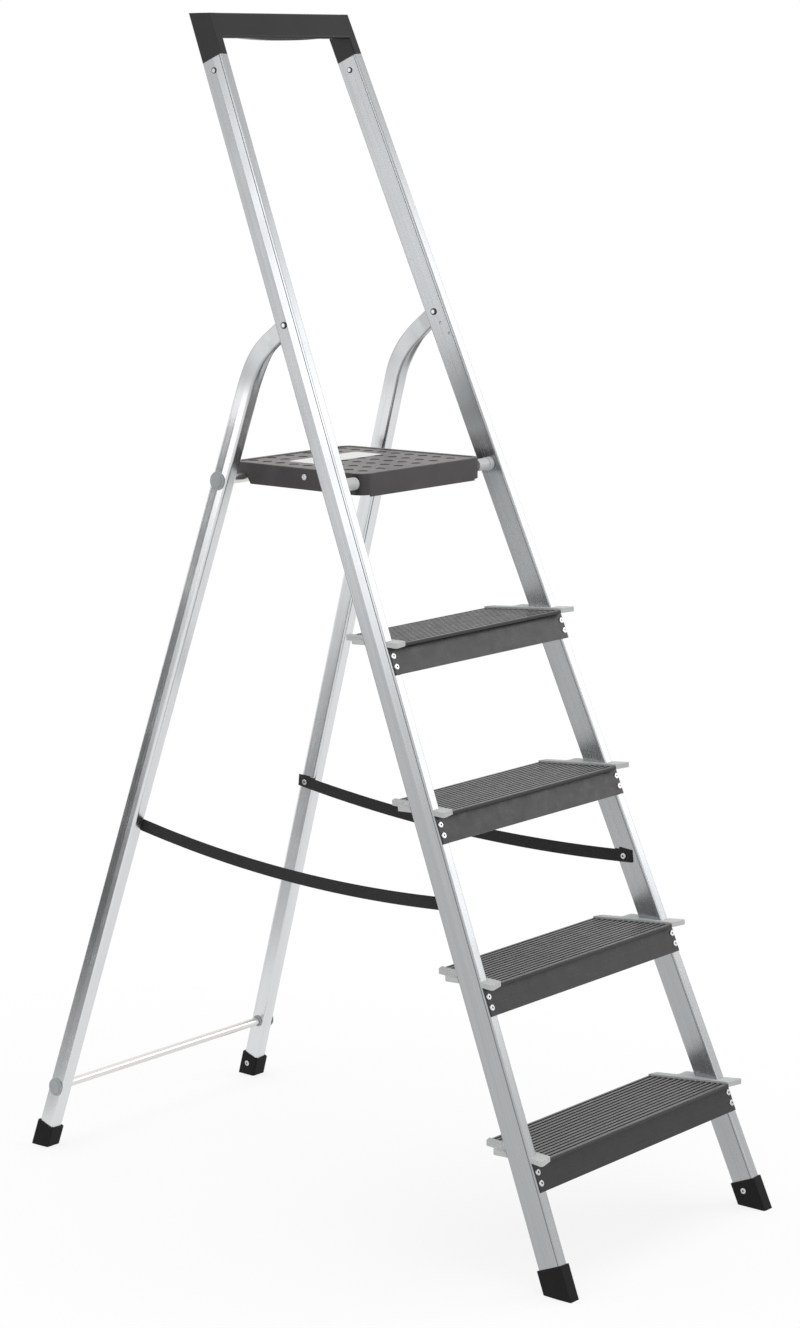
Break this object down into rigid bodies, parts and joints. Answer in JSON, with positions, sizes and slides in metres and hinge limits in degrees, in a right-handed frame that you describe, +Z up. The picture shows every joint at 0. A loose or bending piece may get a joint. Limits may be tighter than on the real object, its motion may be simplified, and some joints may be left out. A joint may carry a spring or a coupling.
{
  "type": "stepladder",
  "caption": "Folding aluminium platform stepladder with ribbed dark treads, a hinged moulded platform, a guard rail above it, rear support legs and webbing safety straps.",
  "frame": {"origin": "on the floor, under the middle of the box round the open ladder", "axes": "+X to the climber's right, +Y from the climber towards the rear legs, +Z up"},
  "size_m": [0.4862, 1.026, 1.701],
  "materials": {
    "frame_aluminium": "satin drawn",
    "tube_aluminium": "bright drawn",
    "rail_plastic": "fine grain",
    "tread_aluminium": "dark anodised",
    "clip_plastic": "matt",
    "foot_rubber": "matt",
    "deck_plastic": "satin",
    "bush_plastic": "matt",
    "cap_plastic": "matt",
    "strap_webbing": "woven",
    "rivet_metal": "bright",
    "rod_steel": "zinc plated"
  },
  "bodies": {
    "front_frame": {"right_stile": "frame_aluminium", "left_stile": "frame_aluminium", "guard_rail": "rail_plastic", "guard_rail_rivets": "rivet_metal", "right_front_foot": "foot_rubber", "left_front_foot": "foot_rubber", "front_foot_rivets": "rivet_metal", "right_hinge_rivet": "rivet_metal", "left_hinge_rivet": "rivet_metal", "platform_axle": "rod_steel", "right_platform_bush": "bush_plastic", "left_platform_bush": "bush_plastic", "front_strap_rivets": "rivet_metal", "right_strap": "strap_webbing", "left_strap": "strap_webbing", "tread_rivets": "rivet_metal", "tread_1": "tread_aluminium", "right_tread_clip_1": "clip_plastic", "left_tread_clip_1": "clip_plastic", "tread_2": "tread_aluminium", "right_tread_clip_2": "clip_plastic", "left_tread_clip_2": "clip_plastic", "tread_3": "tread_aluminium", "right_tread_clip_3": "clip_plastic", "left_tread_clip_3": "clip_plastic", "tread_4": "tread_aluminium", "right_tread_clip_4": "clip_plastic", "left_tread_clip_4": "clip_plastic"},
    "rear_frame": {"right_rear_leg": "frame_aluminium", "left_rear_leg": "frame_aluminium", "right_rear_foot": "foot_rubber", "left_rear_foot": "foot_rubber", "rear_foot_rivets": "rivet_metal", "rest_tube": "tube_aluminium", "rest_tube_caps": "cap_plastic", "cross_bar": "tube_aluminium", "cross_bar_caps": "cap_plastic", "cross_bar_collars": "cap_plastic", "rear_strap_rivets": "rivet_metal"},
    "platform": {"platform_deck": "deck_plastic", "platform_brace_rod": "rod_steel"}
  },
  "joints": [
    {"name": "rear_fold", "type": "hinge", "parent": "front_frame", "child": "rear_frame", "pos_m": [0, 0.04066, 1.2633], "axis": [-1, 0, 0], "range_deg": [0, 39], "deforming": ["right_strap", "left_strap"]},
    {"name": "platform_tilt", "type": "hinge", "parent": "front_frame", "child": "platform", "pos_m": [0, -0.05548, 1.04345], "axis": [1, 0, 0], "range_deg": [0, 66]}
  ],
  "couplings": [
    {"joint": "platform_tilt", "follows": "rear_fold", "ratio": 1.69}
  ]
}
